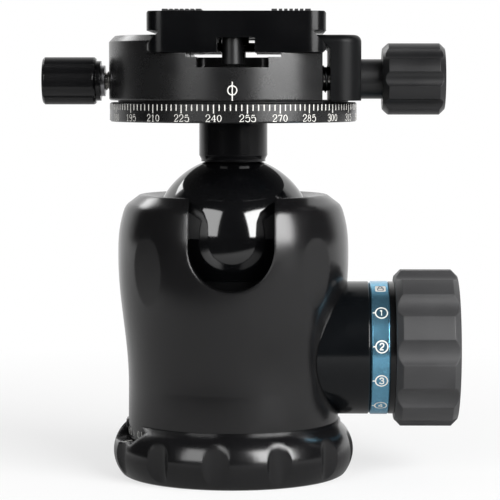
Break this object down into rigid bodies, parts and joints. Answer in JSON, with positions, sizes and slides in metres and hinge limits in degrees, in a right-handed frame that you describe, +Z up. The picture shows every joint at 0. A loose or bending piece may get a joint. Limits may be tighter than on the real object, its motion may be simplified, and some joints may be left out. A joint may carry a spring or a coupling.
{
  "type": "tripod ball head",
  "caption": "Ball head with a drop notch, large locking knob, numbered friction ring, panning base, panning top and a screw clamp holding a dovetail quick-release plate.",
  "frame": {"origin": "centre of the base's flat underside, on the axis of its 3/8 inch thread", "axes": "+Z up along the stem at rest, -Y towards the drop notch, +X towards the main knob"},
  "size_m": [0.0921, 0.0683, 0.1024],
  "materials": {
    "base_black": "glossy black anodised",
    "housing_black": "satin black anodised",
    "inner_alloy": "machined",
    "ball_black": "polished black anodised",
    "top_black": "satin black anodised",
    "knob_black": "satin black anodised",
    "ring_blue": "bead-blasted blue anodised",
    "grip_rubber": "moulded, matte",
    "pad_rubber": "ribbed, matte",
    "slide_plastic": "acetal, smooth",
    "steel": "turned",
    "spring_steel": "spring tempered",
    "shoe_brass": "turned",
    "level_cup": "turned",
    "level_green": "clear, filled with green liquid"
  },
  "bodies": {
    "base": {"base_flange": "base_black", "tripod_bush": "steel", "pan_axle": "inner_alloy", "base_screws": "steel", "pan_washer": "slide_plastic", "pan_nut": "inner_alloy"},
    "housing": {"housing": "housing_black", "floor_plate": "inner_alloy", "track_plate": "inner_alloy", "track_screws": "steel", "upper_race": "slide_plastic", "knob_boss": "housing_black", "boss_screws": "steel"},
    "wedge": {"clamp_wedge": "steel"},
    "press": {"pressure_block": "inner_alloy", "seat_spring": "spring_steel"},
    "seat": {"ball_seat": "slide_plastic"},
    "ball": {"ball": "ball_black"},
    "stem": {"neck_sleeve": "top_black", "scale_ring": "top_black", "ring_screws": "steel", "top_washer": "slide_plastic", "spindle": "steel", "neck_bolt": "steel", "bearing_washer": "slide_plastic", "spindle_nut": "inner_alloy"},
    "main_knob": {"main_screw": "steel", "knob_washer": "slide_plastic", "knob_hub": "knob_black", "hub_screw": "steel", "knob_grip": "grip_rubber"},
    "friction_ring": {"tension_ring": "ring_blue"},
    "pan_lock_shoe": {"pan_shoe": "shoe_brass"},
    "pan_lock": {"pan_lock_screw": "steel", "pan_lock_clip": "spring_steel", "pan_lock_knob": "knob_black"},
    "clamp": {"clamp_body": "top_black", "level_cup": "level_cup", "level_vial": "level_green", "guide_pins": "steel", "jaw_springs": "spring_steel"},
    "jaw": {"moving_jaw": "top_black"},
    "jaw_knob": {"clamp_screw": "steel", "clamp_knob": "knob_black"},
    "top_lock_shoe": {"top_shoe": "shoe_brass"},
    "top_lock": {"top_lock_screw": "steel", "top_lock_clip": "spring_steel", "top_lock_knob": "knob_black"},
    "plate": {"quick_plate": "top_black", "plate_pads": "pad_rubber", "stop_screws": "steel"},
    "screw_retainer": {"screw_clip": "steel"},
    "camera_bolt": {"camera_screw": "steel"}
  },
  "joints": [
    {"name": "base_pan", "type": "hinge", "parent": "base", "child": "housing", "pos_m": [0, 0, 0.0091], "axis": [0, 0, 1], "continuous": true},
    {"name": "main_knob_turn", "type": "hinge", "parent": "housing", "child": "main_knob", "pos_m": [0.0302, 0, 0.028], "axis": [1, 0, 0], "range_deg": [0, 270]},
    {"name": "wedge_slide", "type": "slide", "parent": "housing", "child": "wedge", "axis": [1, 0, 0], "range_m": [-0.0009375, 0]},
    {"name": "seat_lift", "type": "slide", "parent": "housing", "child": "press", "axis": [0, 0, 1], "range_m": [-0.0002512, 0]},
    {"name": "ball_direction", "type": "hinge", "parent": "press", "child": "seat", "pos_m": [0, 0, 0.0525], "axis": [0, 0, 1], "range_deg": [-180, 0]},
    {"name": "ball_tilt", "type": "hinge", "parent": "seat", "child": "ball", "pos_m": [0, 0, 0.0525], "axis": [1, 0, 0], "range_deg": [-37, 90]},
    {"name": "ball_spin", "type": "hinge", "parent": "ball", "child": "stem", "pos_m": [0, 0, 0.0525], "axis": [0, 0, 1], "continuous": true},
    {"name": "friction_ring_turn", "type": "hinge", "parent": "housing", "child": "friction_ring", "pos_m": [0.0323, 0, 0.028], "axis": [1, 0, 0], "range_deg": [-62, 62]},
    {"name": "pan_shoe_slide", "type": "slide", "parent": "housing", "child": "pan_lock_shoe", "axis": [0, 1, 0], "range_m": [0, 0.0003499]},
    {"name": "pan_lock_turn", "type": "hinge", "parent": "pan_lock_shoe", "child": "pan_lock", "pos_m": [0, 0.0281, 0.0152], "axis": [0, 1, 0], "range_deg": [0, 180]},
    {"name": "top_pan", "type": "hinge", "parent": "stem", "child": "clamp", "pos_m": [0, 0, 0.0895], "axis": [0, 0, 1], "continuous": true},
    {"name": "jaw_slide", "type": "slide", "parent": "clamp", "child": "jaw", "axis": [1, 0, 0], "range_m": [0, 0.003]},
    {"name": "jaw_knob_turn", "type": "hinge", "parent": "jaw", "child": "jaw_knob", "pos_m": [0.0278, 0, 0.0876], "axis": [1, 0, 0], "range_deg": [0, 1080]},
    {"name": "top_shoe_slide", "type": "slide", "parent": "clamp", "child": "top_lock_shoe", "axis": [-1, 0, 0], "range_m": [0, 0.0003499]},
    {"name": "top_lock_turn", "type": "hinge", "parent": "top_lock_shoe", "child": "top_lock", "pos_m": [-0.0292, 0, 0.0872], "axis": [-1, 0, 0], "range_deg": [0, 180]},
    {"name": "plate_slide", "type": "slide", "parent": "clamp", "child": "plate", "axis": [0, 1, 0], "range_m": [-0.004, 0.004]},
    {"name": "camera_screw_lift", "type": "slide", "parent": "plate", "child": "screw_retainer", "axis": [0, 0, 1], "range_m": [0, 0.004]},
    {"name": "camera_screw_turn", "type": "hinge", "parent": "screw_retainer", "child": "camera_bolt", "pos_m": [0.0011, 0, 0.095], "axis": [0, 0, 1], "continuous": true}
  ],
  "couplings": [
    {"joint": "main_knob_turn", "follows": "seat_lift", "rad_per_m": -18759},
    {"joint": "wedge_slide", "follows": "seat_lift", "ratio": 3.7321},
    {"joint": "pan_lock_turn", "follows": "pan_shoe_slide", "rad_per_m": 8976},
    {"joint": "top_lock_turn", "follows": "top_shoe_slide", "rad_per_m": 8976},
    {"joint": "jaw_knob_turn", "follows": "jaw_slide", "rad_per_m": 6283.2}
  ]
}
